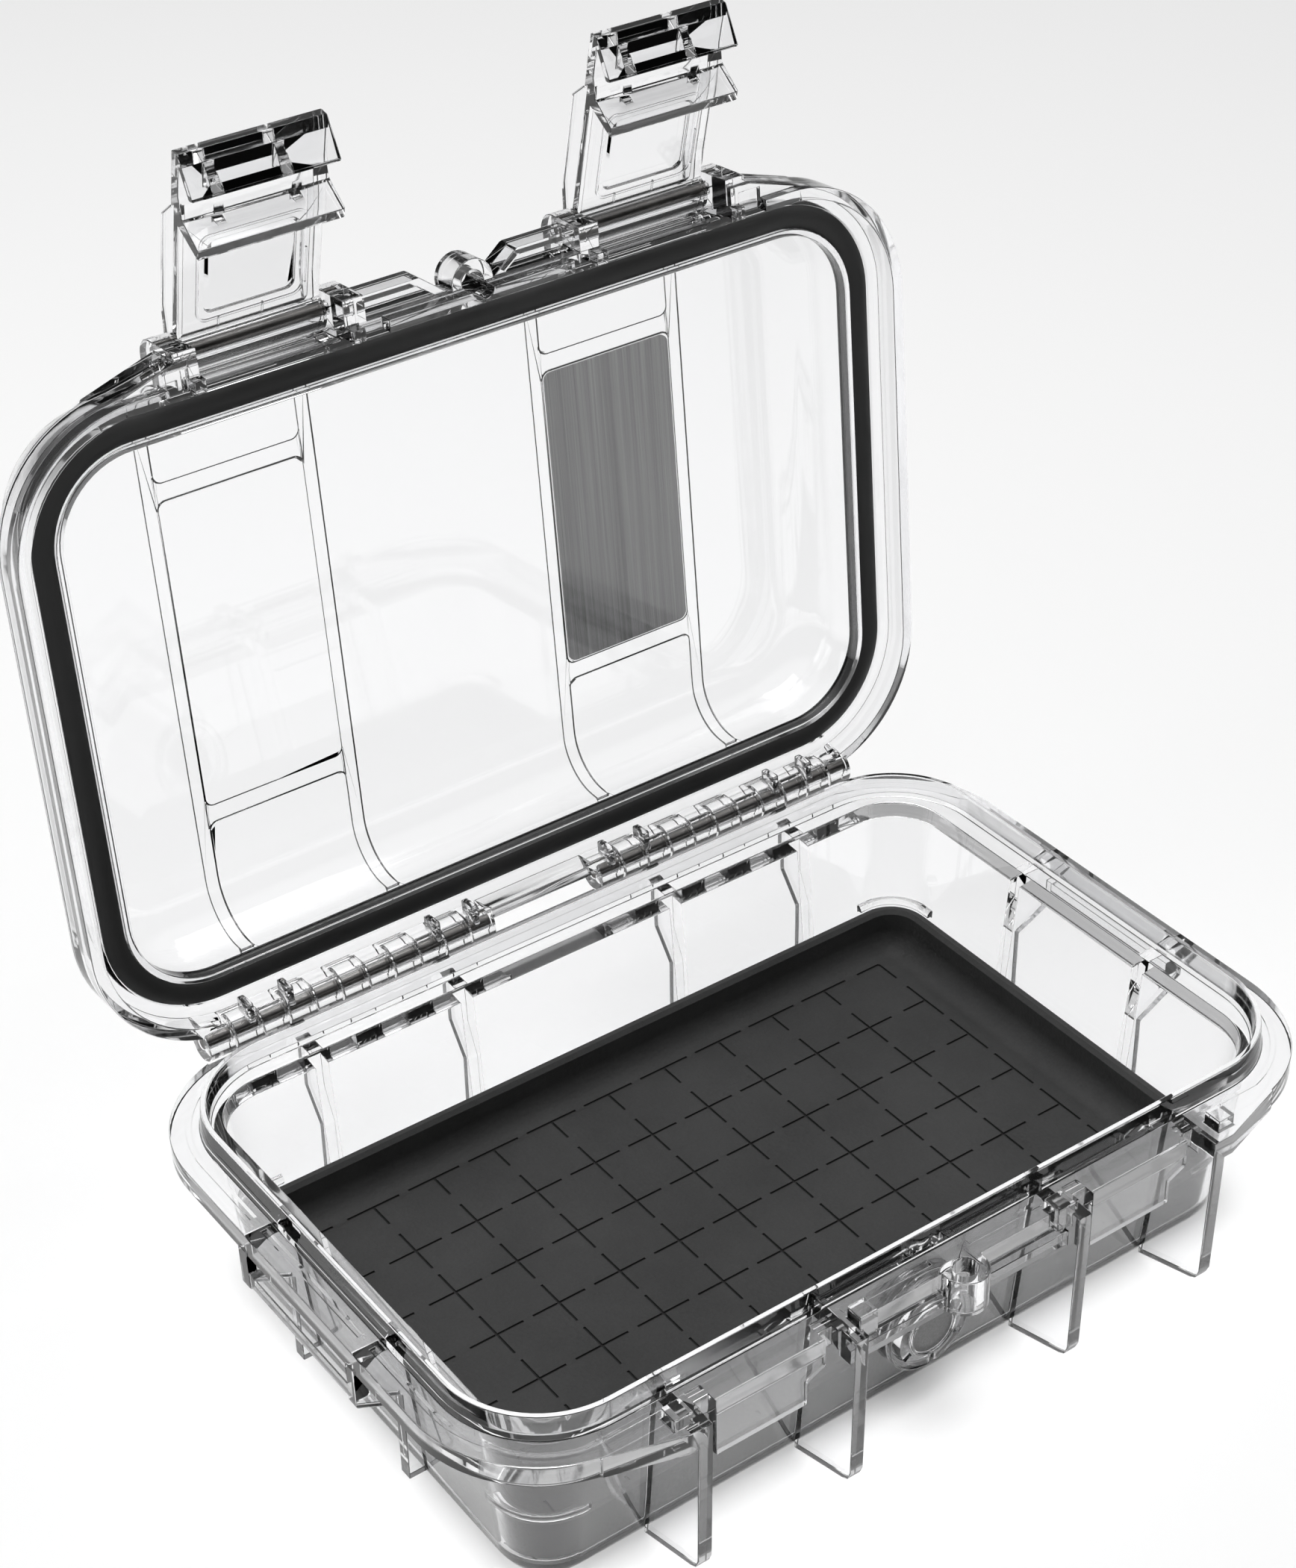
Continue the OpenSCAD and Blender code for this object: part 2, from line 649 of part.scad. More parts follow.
// A latch hanging closed: the pin is the origin, the plate goes down, the case is at +Y
module latch_shape() {
    face = 0.5;
    side_t = 2;
    side_out = 6;
    window_top = 8;
    window_r = 2;
    window_h = hook_u - 2 - window_top;
    difference() {
        union() {
            latch_gussets();
            slab_x(0, latch_w) polygon([[face - latch_t, 0], [face, -3], [face, -hook_u - 3],
                [hook_n, -hook_u], [hook_n, -hook_u - 2.2], [2, -hook_u - 5.4], [face, -latch_l + 9],
                [face, -latch_l + 2.6], [4.6, -latch_l + 7.6], [6, -latch_l + 7], [0, -latch_l],
                [face - latch_t, -latch_l]]);
            for (x = [-latch_w / 2 + side_t / 2, latch_w / 2 - side_t / 2])
                slab_x(x, side_t) polygon([[-latch_barrel_r, 0], [0, 0], [0, -hook_u - 6],
                    [-latch_t, -hook_u - 6], [-side_out, -hook_u - 2], [-side_out, -window_top]]);
            rod_x(-latch_w / 2, latch_w / 2, 0, 0, latch_barrel_r);
        }
        rod_x(-latch_w / 2 - 1, latch_w / 2 + 1, 0, 0, latch_pin_d / 2 + run);
        translate([0, face - 0.7, -window_top - window_h / 2]) rotate([-90, 0, 0]) linear_extrude(3)
            plan(latch_w / 2 - side_t - 6, window_h / 2 - window_r, window_r);
    }
}

// Short gussets under the hook and in the channel of the pull lip
module latch_gussets() {
    gusset_t = 2;
    for (x = [-8.2, 8.8])
        slab_x(x, gusset_t) polygon([[0, -hook_u - 2], [4.6, -hook_u - 2], [0, -hook_u - 9]]);
    for (x = [-10, 5])
        slab_x(x, gusset_t) polygon([[0, -latch_l + 2.4], [4.8, -latch_l + 7.4], [0, -latch_l + 8.4]]);
}

module left_latch() color("whitesmoke", 0.5) on_latch(-1) latch_shape();
module right_latch() color("whitesmoke", 0.5) on_latch(1) latch_shape();

module latch_pin(side) {
    l = latch_w + 2 * lug_w - 1;
    color("dimgray") on_lid() translate([side * latch_x, 0, 0])
        rod_x(-l / 2, l / 2, latch_y, latch_z, latch_pin_d / 2);
}

module left_latch_pin() latch_pin(-1);
module right_latch_pin() latch_pin(1);

module hinge_pin(side) {
    color("dimgray") translate([side * (hinge_x0 + hinge_l / 2), 0, 0])
        rod_x(-hinge_l / 2 + 0.5, hinge_l / 2 - 0.5, hinge_y, hinge_z, hinge_pin_d / 2);
}

module left_hinge_pin() hinge_pin(-1);
module right_hinge_pin() hinge_pin(1);

// Purge valve in the front wall
module on_valve() {
    translate([0, valve_face_y, valve_z]) rotate([90, 0, 0]) children();
}

module valve_body() color("gainsboro", 0.6) on_valve() difference() {
    union() {
        translate([0, 0, 0.9]) cylinder(d = valve_cap_d, h = 2.4);
        translate([0, 0, -7]) cylinder(d = valve_stem_d, h = 8);
    }
    translate([0, 0, -8]) cylinder(d = valve_stem_d - 2.4, h = 9.6);
    translate([0, 0, 2.3]) cylinder(d = valve_cap_d - 5, h = 2);
    for (a = [0:60:300]) rotate([0, 0, a + 30]) translate([valve_cap_d / 2 - 2, -0.6, 2.3]) cube([3, 1.2, 2]);
}

module valve_seal() color("#1c1c1c") on_valve() translate([0, 0, run]) difference() {
    cylinder(d = valve_stem_d + 5, h = 0.8);
    translate([0, 0, -1]) cylinder(d = valve_stem_d + 2 * run, h = 3);
}

module valve_membrane() color("white") on_valve() translate([0, 0, 2.3 + eps])
    cylinder(d = valve_cap_d - 5.4, h = 0.4);

module valve_retainer() color("dimgray") on_valve() translate([0, 0, -5.4]) difference() {
    cylinder(d = valve_stem_d + 2, h = 1);
    translate([0, 0, -1]) cylinder(d = valve_stem_d + 2 * run, h = 3);
}

base_shell();
base_liner();
lid_shell();
lid_gasket();
nameplate();
left_latch();
right_latch();
left_latch_pin();
right_latch_pin();
left_hinge_pin();
right_hinge_pin();
valve_body();
valve_seal();
valve_membrane();
valve_retainer();
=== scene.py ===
"""Small clear waterproof hard case, standing open on a pale studio floor.

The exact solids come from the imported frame. This script gives them their clear plastic, rubber and
steel finishes, adds the fine pieces, and sets up the studio.
"""

import json
import math

import bmesh
import bpy
from mathutils import Matrix, Vector


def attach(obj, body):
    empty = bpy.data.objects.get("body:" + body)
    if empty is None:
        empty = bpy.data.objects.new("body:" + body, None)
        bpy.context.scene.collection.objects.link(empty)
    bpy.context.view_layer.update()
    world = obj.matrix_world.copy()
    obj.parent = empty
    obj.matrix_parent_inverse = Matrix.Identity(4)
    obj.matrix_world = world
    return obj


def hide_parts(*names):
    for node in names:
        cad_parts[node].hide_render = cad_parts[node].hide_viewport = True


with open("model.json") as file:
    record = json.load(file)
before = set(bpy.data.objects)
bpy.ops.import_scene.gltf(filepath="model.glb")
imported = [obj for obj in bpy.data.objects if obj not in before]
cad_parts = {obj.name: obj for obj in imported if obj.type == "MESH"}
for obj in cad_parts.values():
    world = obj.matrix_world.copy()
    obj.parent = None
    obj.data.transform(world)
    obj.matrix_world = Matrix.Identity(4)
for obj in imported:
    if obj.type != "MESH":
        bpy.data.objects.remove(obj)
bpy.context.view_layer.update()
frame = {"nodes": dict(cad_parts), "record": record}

bl_info = {
    "name": "Clear hard case",
    "version": (1, 0, 0),
    "blender": (4, 5, 0),
    "location": "View3D > Sidebar > Hard case",
    "description": "Finishes, fine pieces and studio for a small clear waterproof case",
    "category": "Object",
}

MM = 0.001
SHARP = math.radians(33)

# Places and sizes in millimetres. A piece of the lid is given as it lies with the lid shut.
HINGE_Y, HINGE_Z, LID_TURN = 73.6, 47.1, -95
LATCH_X, LATCH_PIN_Y, LATCH_PIN_Z, LATCH_TURN = 47.2, -73.5, 57.8, -72
PLATE_FACE = 0.5
WINDOW_Z, BEAD_HALF_X, BEAD_HALF_Z, BEAD_CORNER, BEAD_W = -16.65, 12.0, 10.4, 2.6, 0.45
LATCH_RIBS = ((-6.9, -6.6, -4.2), (2.9, -7.0, -4.2), (12.4, -17.0, -8.6))
WEBS_X = (18.5, 28.4, 65.8, 75.6)
WEB_Y, WEB_Z = (67.2, 72.2), (44.45, 49.0)
VALVE_FACE_Y, VALVE_Z = -62.15, 20.4
# Heights in the tray across which its painted groove shade fades out.
GROOVE_SHADE_FLOOR, GROOVE_SHADE_TOP = 5.15, 5.4
GATE_AT, GATE_FLAT, GATE_R = (1.5, -1.0, 5.5), 2.0, 8.0


# Finishes

class Value:
    """A node's output that can stand in sums."""

    def __init__(self, finish, socket):
        self.finish = finish
        self.socket = socket

    def sum(self, operation, *values):
        return self.finish.node("ShaderNodeMath", {"operation": operation}, dict(enumerate(values)))

    def __add__(self, other):
        return self.sum("ADD", self, other)

    __radd__ = __add__

    def __mul__(self, other):
        return self.sum("MULTIPLY", self, other)

    __rmul__ = __mul__


class Finish:
    """A material, or the world, that is built node by node."""

    def __init__(self, owner, ending="ShaderNodeOutputMaterial", place="Object"):
        self.owner = owner
        owner.use_nodes = True
        self.tree = owner.node_tree
        self.tree.nodes.clear()
        self.ending = ending
        self.place = self.node("ShaderNodeTexCoord", output=place)

    def node(self, kind, settings=None, inputs=None, output=0):
        """A node of that type: its settings first, then the values or links of its sockets."""
        made = self.tree.nodes.new(kind)
        for key, value in (settings or {}).items():
            if key == "stops":
                ramp = made.color_ramp
                for i, (at, shade) in enumerate(value):
                    stop = ramp.elements[i] if i < 2 else ramp.elements.new(at)
                    stop.position = at
                    stop.color = (*shade, 1) if isinstance(shade, tuple) else (shade, shade, shade, 1)
            else:
                setattr(made, key, value)
        for key, value in (inputs or {}).items():
            if isinstance(value, Value):
                self.tree.links.new(value.socket, made.inputs[key])
            else:
                made.inputs[key].default_value = value
        return None if output is None else Value(self, made.outputs[output])

    def height(self):
        """How high a point lies in the object's own coordinates."""
        return self.node("ShaderNodeSeparateXYZ", None, {"Vector": self.place}, "Z")

    def stretched(self, scale):
        """The object's own coordinates, scaled along each axis."""
        return self.node("ShaderNodeMapping", None, {"Vector": self.place, "Scale": scale})

    def away_from(self, x, y, z):
        """The distance from a place in the object's own coordinates."""
        centred = self.node("ShaderNodeMapping", None, {"Vector": self.place, "Location": (-x, -y, -z)})
        return self.node("ShaderNodeVectorMath", {"operation": "LENGTH"}, {0: centred}, "Value")

    def noise(self, scale, detail, roughness, vector=None):
        inputs = {"Vector": vector or self.place, "Scale": scale, "Detail": detail, "Roughness": roughness}
        return self.node("ShaderNodeTexNoise", None, inputs)

    def cells(self, scale):
        """The distance to the nearest of scattered points."""
        return self.node("ShaderNodeTexVoronoi", None, {"Vector": self.place, "Scale": scale}, "Distance")

    def ramp(self, value, stops):
        return self.node("ShaderNodeValToRGB", {"stops": stops}, {"Fac": value}, "Color")

    def span(self, value, low, high, out_low, out_high):
        return self.node(
            "ShaderNodeMapRange",
            None,
            {"Value": value, "From Min": low, "From Max": high, "To Min": out_low, "To Max": out_high},
        )

    def bump(self, height, distance, strength, normal=None):
        inputs = {"Height": height, "Distance": distance, "Strength": strength}
        if normal is not None:
            inputs["Normal"] = normal
        return self.node("ShaderNodeBump", None, inputs)

    def end(self, shader):
        """The shader goes to the output, which has no outputs of its own."""
        self.node(self.ending, None, {"Surface": shader}, None)
        return self.owner

    def surface(self, **sockets):
        """The one shader, by socket name with underscores for spaces."""
        return self.end(
            self.node("ShaderNodeBsdfPrincipled", None, {k.replace("_", " "): v for k, v in sockets.items()})
        )


def clear_plastic(name, tint, clarity):
    """Polished polycarbonate: faint flow waves from the mould and light handling haze."""
    f = Finish(bpy.data.materials.new(name))
    waves = f.noise(14.0, 1.0, 0.4)
    haze = f.noise(9.0, 5.0, 0.6)
    return f.surface(
        Base_Color=tint,
        Roughness=f.span(haze, 0.4, 0.75, 1.0 - clarity, 1.06 - clarity),
        Transmission_Weight=1.0,
        IOR=1.56,
        Specular_IOR_Level=0.5,
        Normal=f.bump(waves, 0.0002, 0.15),
    )


def grained_rubber(name, shade, grain, depth):
    """Satin moulded rubber with a fine leather-like grain, and painted shade darkening its grooves."""
    f = Finish(bpy.data.materials.new(name))
    pores = f.cells(grain)
    fine = f.noise(grain * 1.7, 3.0, 0.6)
    mottle = f.noise(28.0, 4.0, 0.6)
    height = pores * 0.6 + fine * 0.4
    # Painted shade: below the tray's face the colour falls to a tenth, darkening the grooves.
    groove_shade = f.span(f.height(), GROOVE_SHADE_FLOOR * MM, GROOVE_SHADE_TOP * MM, 0.1, 1.0)
    dish = f.span(f.away_from(*(at * MM for at in GATE_AT)), GATE_FLAT * MM, GATE_R * MM, 0.0, 1.0)
    return f.surface(
        Base_Color=f.ramp(
            (mottle * 0.6 + fine * 0.4) * groove_shade,
            [(0.05, shade * 0.15), (0.3, shade * 0.7), (0.66, shade * 1.5)],
        ),
        Roughness=f.span(fine + mottle * 0.4, 0.4, 1.0, 0.55, 0.72),
        Specular_IOR_Level=0.3,
        Normal=f.bump(height, depth, 0.8, f.bump(dish, 0.0006, 0.5)),
    )


def sealing_rubber(name, shade):
    """Soft black sealing rubber, matte with a slight bloom."""
    f = Finish(bpy.data.materials.new(name))
    bloom = f.noise(60.0, 4.0, 0.65)
    speck = f.noise(1400.0, 2.0, 0.5)
    return f.surface(
        Base_Color=f.ramp(bloom, [(0.3, shade * 0.8), (0.75, shade * 1.6)]),
        Roughness=f.span(bloom, 0.3, 0.7, 0.5, 0.66),
        Specular_IOR_Level=0.4,
        Normal=f.bump(speck, 0.00004, 0.6),
    )


def brushed_plate(name, shade):
    """Sheet metal brushed along the case's depth, in long broken strokes."""
    f = Finish(bpy.data.materials.new(name))
    strokes = f.noise(1.0, 4.0, 0.7, f.stretched((2600, 14, 14)))
    broad = f.noise(1.0, 3.0, 0.6, f.stretched((420, 5, 5)))
    mixed = strokes * 0.65 + broad * 0.35
    return f.surface(
        Base_Color=f.ramp(mixed, [(0.34, shade * 0.55), (0.5, shade), (0.68, shade * 1.7)]),
        Metallic=0.85,
        Roughness=f.span(mixed, 0.3, 0.7, 0.34, 0.52),
        Normal=f.bump(mixed, 0.00006, 0.5),
    )


def drawn_wire(name, shade):
    """Drawn steel wire with fine lines along it."""
    f = Finish(bpy.data.materials.new(name))
    lines = f.noise(1.0, 4.0, 0.65, f.stretched((30, 2400, 2400)))
    stain = f.noise(120.0, 3.0, 0.6)
    return f.surface(
        Base_Color=f.ramp(
            lines * 0.6 + stain * 0.4,
            [
                (0.3, (shade * 0.5, shade * 0.47, shade * 0.44)),
                (0.7, (shade * 1.5, shade * 1.43, shade * 1.36)),
            ],
        ),
        Metallic=1.0,
        Roughness=f.span(stain, 0.3, 0.7, 0.26, 0.42),
        Normal=f.bump(lines, 0.00003, 0.5),
    )


def thin_membrane(name):
    """Smoky breathing film with a felted face."""
    f = Finish(bpy.data.materials.new(name))
    felt = f.noise(2600.0, 4.0, 0.7)
    return f.surface(
        Base_Color=f.ramp(felt, [(0.3, 0.16), (0.7, 0.26)]),
        Roughness=f.span(felt, 0.3, 0.7, 0.7, 0.9),
        Normal=f.bump(felt, 0.00005, 0.8),
    )


def painted_floor(name, shade):
    """Matt studio floor with a barely seen unevenness."""
    f = Finish(bpy.data.materials.new(name))
    clouds = f.noise(1.6, 3.0, 0.5)
    tooth = f.noise(900.0, 2.0, 0.5)
    return f.surface(
        Base_Color=f.ramp(clouds, [(0.3, shade * 0.985), (0.7, shade)]),
        Roughness=f.span(clouds, 0.3, 0.7, 0.8, 0.9),
        Specular_IOR_Level=0.2,
        Normal=f.bump(tooth, 0.00005, 0.3),
    )


# Makers

def floor_plane():
    """A flat square on the ground, large enough for every view."""
    bm = bmesh.new()
    bmesh.ops.create_grid(bm, x_segments=1, y_segments=1, size=12.0)
    return bm


def piece(name, bm, material):
    """A new object from a finished bmesh."""
    mesh = bpy.data.meshes.new(name)
    bm.to_mesh(mesh)
    bm.free()
    mesh.materials.append(material)
    made = bpy.data.objects.new(name, mesh)
    bpy.context.scene.collection.objects.link(made)
    return made


def mark_sharp(bm):
    """Smooth shading everywhere but over the sharp edges."""
    for face in bm.faces:
        face.smooth = True
    for side in bm.edges:
        side.smooth = side.calc_face_angle(0.0) < SHARP


def dress(names, material):
    """The same finish on several carried-over nodes."""
    for name in names:
        slots = frame["nodes"][name].data.materials
        slots.clear()
        slots.append(material)


def body_of(node):
    """The CAD body that a node belongs to."""
    return next(b for b, nodes in frame["record"]["behaviour"]["bodies"].items() if node in nodes)


def moulding(node, material, edge):
    """A clear moulding with its sharp edges broken as a mould leaves them, in the node's place.

    It casts no shadow, because clear plastic lets the light through to the floor.
    """
    bm = bmesh.new()
    bm.from_mesh(frame["nodes"][node].data)
    bmesh.ops.remove_doubles(bm, verts=bm.verts, dist=0.001 * MM)
    bmesh.ops.dissolve_degenerate(bm, dist=0.005 * MM, edges=bm.edges)
    mark_sharp(bm)
    made = piece(node + "_moulding", bm, material)
    if "custom_normal" in made.data.attributes:
        made.data.attributes.remove(made.data.attributes["custom_normal"])
    broken = made.modifiers.new("broken_edges", "BEVEL")
    broken.width = edge
    broken.segments = 1
    broken.limit_method = "ANGLE"
    broken.angle_limit = SHARP
    broken.use_clamp_overlap = False
    broken.harden_normals = True
    made.visible_shadow = False
    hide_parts(node)
    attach(made, body_of(node))
    return made


def fitting(name, bm, material, body, place):
    """A fine piece that is modelled in millimetres, set in its place and carried by its body."""
    bmesh.ops.remove_doubles(bm, verts=bm.verts, dist=0.001)
    bmesh.ops.recalc_face_normals(bm, faces=bm.faces)
    bmesh.ops.transform(bm, matrix=place, verts=bm.verts)
    bmesh.ops.scale(bm, vec=(MM, MM, MM), verts=bm.verts)
    mark_sharp(bm)
    made = piece(name, bm, material)
    made.visible_shadow = False
    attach(made, body)
    return made


def slab(bm, low, high, edge, segments):
    """A block between two corners with its edges rounded."""
    low, high = Vector(low), Vector(high)
    made = bmesh.ops.create_cube(bm, size=1.0)["verts"]
    bmesh.ops.scale(bm, vec=high - low, verts=made)
    bmesh.ops.translate(bm, vec=(low + high) / 2, verts=made)
    bmesh.ops.bevel(
        bm, geom=list({side for vert in made for side in vert.link_edges}), offset=edge, offset_type="OFFSET",
        affect="EDGES", segments=segments, profile=0.5, material=-1,
    )


def ring(bm, corners, steps):
    """A ring about the Z axis, spun from a closed section of (radius, height) corners."""
    section = [bm.verts.new((radius, 0.0, height)) for radius, height in corners]
    face = bm.faces.new(section)
    sides = list(face.edges)
    bm.faces.remove(face)
    bmesh.ops.spin(
        bm, geom=section + sides, cent=(0, 0, 0), axis=(0, 0, 1), dvec=(0, 0, 0), angle=math.tau,
        steps=steps, use_merge=True, use_duplicate=False,
    )


def frame_bead(bm, half_x, half_z, corner, width, y_low, y_high):
    """A raised line round a rounded window, between two heights along Y."""
    made = bmesh.ops.create_grid(bm, x_segments=1, y_segments=1, size=1.0)["verts"]
    bmesh.ops.scale(bm, vec=(half_x, half_z, 1.0), verts=made)
    bmesh.ops.bevel(
        bm, geom=made, offset=corner, offset_type="OFFSET", affect="VERTICES", segments=6, profile=0.5,
        material=-1,
    )
    rim = bmesh.ops.inset_region(
        bm, faces=bm.faces[:], thickness=width, use_boundary=True, use_even_offset=True
    )["faces"]
    bmesh.ops.delete(bm, geom=[face for face in bm.faces if face not in rim], context="FACES_ONLY")
    bmesh.ops.rotate(bm, cent=(0, 0, 0), matrix=Matrix.Rotation(math.pi / 2, 3, "X"), verts=bm.verts)
    bmesh.ops.translate(bm, vec=(0, y_low, 0), verts=bm.verts)
    raised = bmesh.ops.extrude_face_region(bm, geom=bm.faces[:], use_keep_orig=True)["geom"]
    bmesh.ops.translate(
        bm, vec=(0, y_high - y_low, 0), verts=[e for e in raised if isinstance(e, bmesh.types.BMVert)]
    )


def lid_place():
    """From the lid's place when shut to where it stands."""
    hinge = Matrix.Translation((0, HINGE_Y, HINGE_Z))
    return hinge @ Matrix.Rotation(math.radians(LID_TURN), 4, "X") @ hinge.inverted()


def latch_place(side):
    """From a latch's own frame, with its pin at the origin and its plate hanging down, to its place."""
    pin = Matrix.Translation((side * LATCH_X, LATCH_PIN_Y, LATCH_PIN_Z))
    return lid_place() @ pin @ Matrix.Rotation(math.radians(LATCH_TURN), 4, "X")


# Settings

class ShellSettings(bpy.types.PropertyGroup):
    tint: bpy.props.FloatVectorProperty(
        name="Tint", description="Colour of the clear plastic", default=(0.985, 0.986, 0.992, 1.0),
        size=4, min=0.0, max=1.0, subtype="COLOR",
    )
    clarity: bpy.props.FloatProperty(
        name="Clarity", description="One is perfectly polished", default=0.985, min=0.8, max=1.0,
        subtype="FACTOR",
    )
    edge: bpy.props.FloatProperty(
        name="Edge", description="Width of the broken edges", default=0.26 * MM,
        min=0.0, max=1.0 * MM, unit="LENGTH",
    )


class FineSettings(bpy.types.PropertyGroup):
    web: bpy.props.FloatProperty(
        name="Web", description="Thickness of the webs beside the hinge", default=1.7 * MM,
        min=0.5 * MM, max=3.0 * MM, unit="LENGTH",
    )
    rib: bpy.props.FloatProperty(
        name="Rib", description="How far the latches' ribs and beads stand proud", default=0.35 * MM,
        min=0.1 * MM, max=0.8 * MM, unit="LENGTH",
    )


class SoftSettings(bpy.types.PropertyGroup):
    liner_shade: bpy.props.FloatProperty(
        name="Liner shade", description="Lightness of the tray's rubber", default=0.026, min=0.0, max=0.2,
        subtype="FACTOR",
    )
    gasket_shade: bpy.props.FloatProperty(
        name="Gasket shade", description="Lightness of the sealing rubber", default=0.011, min=0.0, max=0.2,
        subtype="FACTOR",
    )
    grain: bpy.props.FloatProperty(
        name="Grain", description="Grain cells to a metre of the tray", default=950.0, min=200.0, max=3000.0,
    )


class MetalSettings(bpy.types.PropertyGroup):
    plate_shade: bpy.props.FloatProperty(
        name="Plate shade", description="Lightness of the brushed plate", default=0.25, min=0.0, max=1.0,
        subtype="FACTOR",
    )
    pin_shade: bpy.props.FloatProperty(
        name="Pin shade", description="Lightness of the steel pins", default=0.09, min=0.0, max=1.0,
        subtype="FACTOR",
    )


class StudioSettings(bpy.types.PropertyGroup):
    floor_shade: bpy.props.FloatProperty(
        name="Floor shade", description="Lightness of the floor", default=0.96, min=0.0, max=1.0,
        subtype="FACTOR",
    )
    sky: bpy.props.FloatProperty(
        name="Sky light", description="Strength of the light from all round", default=0.95, min=0.0, max=5.0,
    )
    key: bpy.props.FloatProperty(
        name="Key light", description="Power of the large light overhead", default=16.0, min=0.0, max=200.0,
        unit="POWER",
    )
    focal: bpy.props.FloatProperty(
        name="Focal length", description="Of the camera's lens", default=70.62 * MM, min=10 * MM,
        max=300 * MM, unit="LENGTH",
    )


# Operators

class CASE_OT_shells(bpy.types.Operator):
    """Finish the tub, the lid and the latches in clear plastic"""

    bl_idname = "case.shells"
    bl_label = "Clear shells"

    def execute(self, context):
        s = context.scene.case_shell
        plastic = clear_plastic("clear_polycarbonate", tuple(s.tint), s.clarity)
        for node in ("base_shell", "lid_shell", "left_latch", "right_latch"):
            moulding(node, plastic, s.edge)
        dress(["valve_body"], plastic)
        return {"FINISHED"}


class CASE_OT_fine(bpy.types.Operator):
    """Add the webs beside the hinge, the latches' ribs and beads, and the valve's clear rings"""

    bl_idname = "case.fine"
    bl_label = "Fine clear pieces"

    def execute(self, context):
        s = context.scene.case_fine
        plastic = bpy.data.materials["clear_polycarbonate"]
        self.hinge_webs(plastic, s.web / MM)
        for side, body in ((-1, "left_latch"), (1, "right_latch")):
            self.latch_ribs(plastic, side, body, s.rib / MM)
            self.latch_bead(plastic, side, body, s.rib / MM)
        self.valve_rings(plastic)
        return {"FINISHED"}

    def hinge_webs(self, plastic, thick):
        """Short webs across the channel between the gasket and the lid's skirt."""
        bm = bmesh.new()
        for x in WEBS_X:
            for middle in (-x, x):
                low = (middle - thick / 2, WEB_Y[0], WEB_Z[0])
                slab(bm, low, (middle + thick / 2, WEB_Y[1], WEB_Z[1]), 0.35, 2)
        fitting("lid_hinge_webs", bm, plastic, "lid", lid_place())

    def latch_ribs(self, plastic, side, body, proud):
        """Three hair-thin ribs on the plate, two by the pin and one beside the window."""
        bm = bmesh.new()
        for x, low, high in LATCH_RIBS:
            slab(bm, (x - 0.2, PLATE_FACE - 0.2, low), (x + 0.2, PLATE_FACE + proud, high), 0.08, 1)
        fitting(body + "_ribs", bm, plastic, body, latch_place(side))

    def latch_bead(self, plastic, side, body, proud):
        """The thin raised line round the latch's window."""
        bm = bmesh.new()
        heights = (PLATE_FACE - 0.15, PLATE_FACE + proud)
        frame_bead(bm, BEAD_HALF_X, BEAD_HALF_Z, BEAD_CORNER, BEAD_W, *heights)
        place = latch_place(side) @ Matrix.Translation((0, 0, WINDOW_Z))
        fitting(body + "_bead", bm, plastic, body, place)

    def valve_rings(self, plastic):
        """A lip round the valve's seat and another round its cap."""
        place = Matrix.Translation((0, VALVE_FACE_Y, VALVE_Z)) @ Matrix.Rotation(math.pi / 2, 4, "X")
        bm = bmesh.new()
        ring(bm, [(9.75, 0.0), (10.45, 0.0), (10.45, 1.3), (10.2, 1.55), (9.95, 1.55), (9.75, 1.3)], 64)
        ring(bm, [(5.3, 2.2), (6.0, 2.2), (6.0, 2.75), (5.85, 2.9), (5.5, 2.9), (5.3, 2.75)], 48)
        fitting("valve_rings", bm, plastic, "base", place)


class CASE_OT_rubber(bpy.types.Operator):
    """Finish the tray, the gasket and the valve's soft parts"""

    bl_idname = "case.rubber"
    bl_label = "Rubber parts"

    def execute(self, context):
        s = context.scene.case_soft
        dress(["base_liner"], grained_rubber("liner_rubber", s.liner_shade, s.grain, 0.00012))
        dress(["lid_gasket", "valve_seal"], sealing_rubber("sealing_rubber", s.gasket_shade))
        dress(["valve_membrane"], thin_membrane("felted_membrane"))
        return {"FINISHED"}


class CASE_OT_metal(bpy.types.Operator):
    """Finish the nameplate, the pins and the valve's ring"""

    bl_idname = "case.metal"
    bl_label = "Metal parts"

    def execute(self, context):
        s = context.scene.case_metal
        dress(["nameplate"], brushed_plate("brushed_plate", s.plate_shade))
        dress(
            ["left_latch_pin", "right_latch_pin", "left_hinge_pin", "right_hinge_pin", "valve_retainer"],
            drawn_wire("drawn_steel", s.pin_shade),
        )
        return {"FINISHED"}


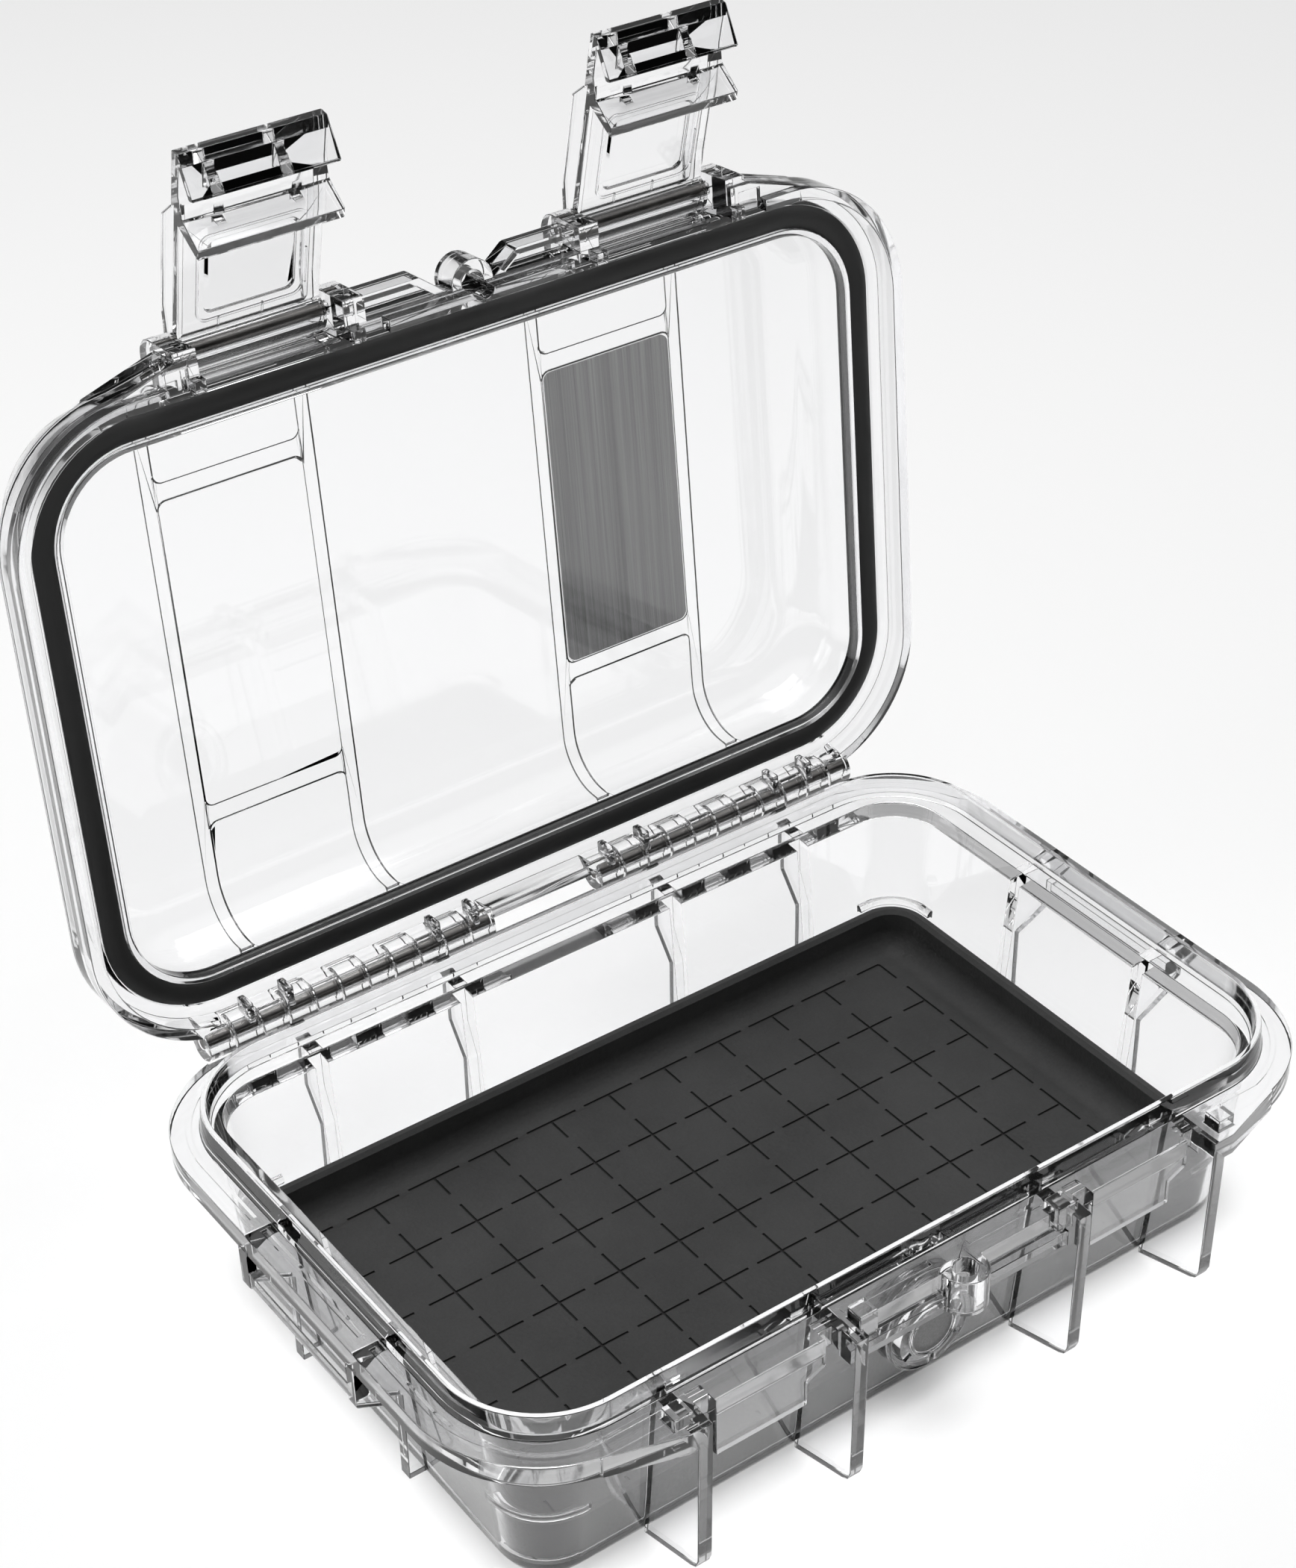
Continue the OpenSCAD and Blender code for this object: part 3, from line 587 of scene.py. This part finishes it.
class CASE_OT_studio(bpy.types.Operator):
    """Lay the floor, hang the lights and place the camera"""

    bl_idname = "case.studio"
    bl_label = "Studio"

    def execute(self, context):
        s = context.scene.case_studio
        floor = piece("studio_floor", floor_plane(), painted_floor("painted_floor", s.floor_shade))
        self.camera(context, s.focal)
        self.sky(context, s.sky)
        self.lamp(context, "key_light", (0.0, 0.1, 1.6), (0.0, 0.05, 0.0), 1.3, s.key)
        self.lamp(context, "side_light", (-1.5, 0.5, 0.8), (0.0, 0.05, 0.1), 0.9, s.key * 0.35)
        context.scene.view_settings.view_transform = "Standard"
        return {"FINISHED"}

    def camera(self, context, focal):
        """The camera, turned about Z, raised, and rolled a little about its line of sight."""
        turn, rise, roll = math.radians(-35.2905), math.radians(34.5092), math.radians(-1.1792)
        back = Vector((math.sin(turn) * math.cos(rise), -math.cos(turn) * math.cos(rise), math.sin(rise)))
        right = Vector((0, 0, 1)).cross(back).normalized()
        up = back.cross(right)
        right, up = (
            right * math.cos(roll) + up * math.sin(roll),
            up * math.cos(roll) - right * math.sin(roll),
        )
        data = bpy.data.cameras.new("camera")
        data.sensor_width = 36.0
        data.lens = focal / MM
        data.clip_start, data.clip_end = 0.01, 50.0
        camera = bpy.data.objects.new("camera", data)
        context.scene.collection.objects.link(camera)
        camera.matrix_world = Matrix.Translation((-0.302217, -0.396624, 0.461122)) @ Matrix(
            (right, up, back)
        ).transposed().to_4x4()
        context.scene.camera = camera

    def sky(self, context, strength):
        """Bright overhead, fading to a dim band round the horizon that draws the clear edges."""
        context.scene.world = bpy.data.worlds.new("studio")
        f = Finish(context.scene.world, "ShaderNodeOutputWorld", "Generated")
        rise = f.node("ShaderNodeSeparateXYZ", None, {"Vector": f.place}, "Z")
        shade = f.ramp(rise, [(0.0, 0.03), (0.5, 0.03), (0.68, 0.58), (0.9, 0.74)])
        light = f.node("ShaderNodeBackground", None, {"Color": shade, "Strength": strength})
        pale = f.node("ShaderNodeBackground", None, {"Color": (0.96, 0.965, 0.97, 1)})
        seen = f.node("ShaderNodeLightPath", output="Is Camera Ray")
        f.end(f.node("ShaderNodeMixShader", None, {0: seen, 1: light, 2: pale}))

    def lamp(self, context, name, place, target, size, power):
        """A square soft light, turned towards its target."""
        data = bpy.data.lights.new(name, "AREA")
        data.size = size
        data.energy = power
        lamp = bpy.data.objects.new(name, data)
        context.scene.collection.objects.link(lamp)
        lamp.location = place
        lamp.rotation_mode = "QUATERNION"
        lamp.rotation_quaternion = (Vector(target) - Vector(place)).to_track_quat("-Z", "Y")


class CASE_PT_panel(bpy.types.Panel):
    """Steps and settings of the clear case"""

    bl_idname = "CASE_PT_panel"
    bl_label = "Hard case"
    bl_space_type = "VIEW_3D"
    bl_region_type = "UI"
    bl_category = "Hard case"

    def draw(self, context):
        for step, group in STEPS:
            box = self.layout.box()
            box.operator(step)
            settings = getattr(context.scene, group)
            for key in settings.__annotations__:
                box.prop(settings, key)


STEPS = (
    ("case.shells", "case_shell"),
    ("case.fine", "case_fine"),
    ("case.rubber", "case_soft"),
    ("case.metal", "case_metal"),
    ("case.studio", "case_studio"),
)
GROUPS = {
    "case_shell": ShellSettings,
    "case_fine": FineSettings,
    "case_soft": SoftSettings,
    "case_metal": MetalSettings,
    "case_studio": StudioSettings,
}
OPERATORS = (CASE_OT_shells, CASE_OT_fine, CASE_OT_rubber, CASE_OT_metal, CASE_OT_studio)


def register():
    for cls in (*GROUPS.values(), *OPERATORS, CASE_PT_panel):
        bpy.utils.register_class(cls)
    for key, cls in GROUPS.items():
        setattr(bpy.types.Scene, key, bpy.props.PointerProperty(type=cls))


def unregister():
    for key in GROUPS:
        delattr(bpy.types.Scene, key)
    for cls in (CASE_PT_panel, *OPERATORS, *GROUPS.values()):
        bpy.utils.unregister_class(cls)


def main():
    register()
    bpy.ops.case.shells()
    bpy.ops.case.fine()
    bpy.ops.case.rubber()
    bpy.ops.case.metal()
    bpy.ops.case.studio()


if __name__ == "__main__":
    main()
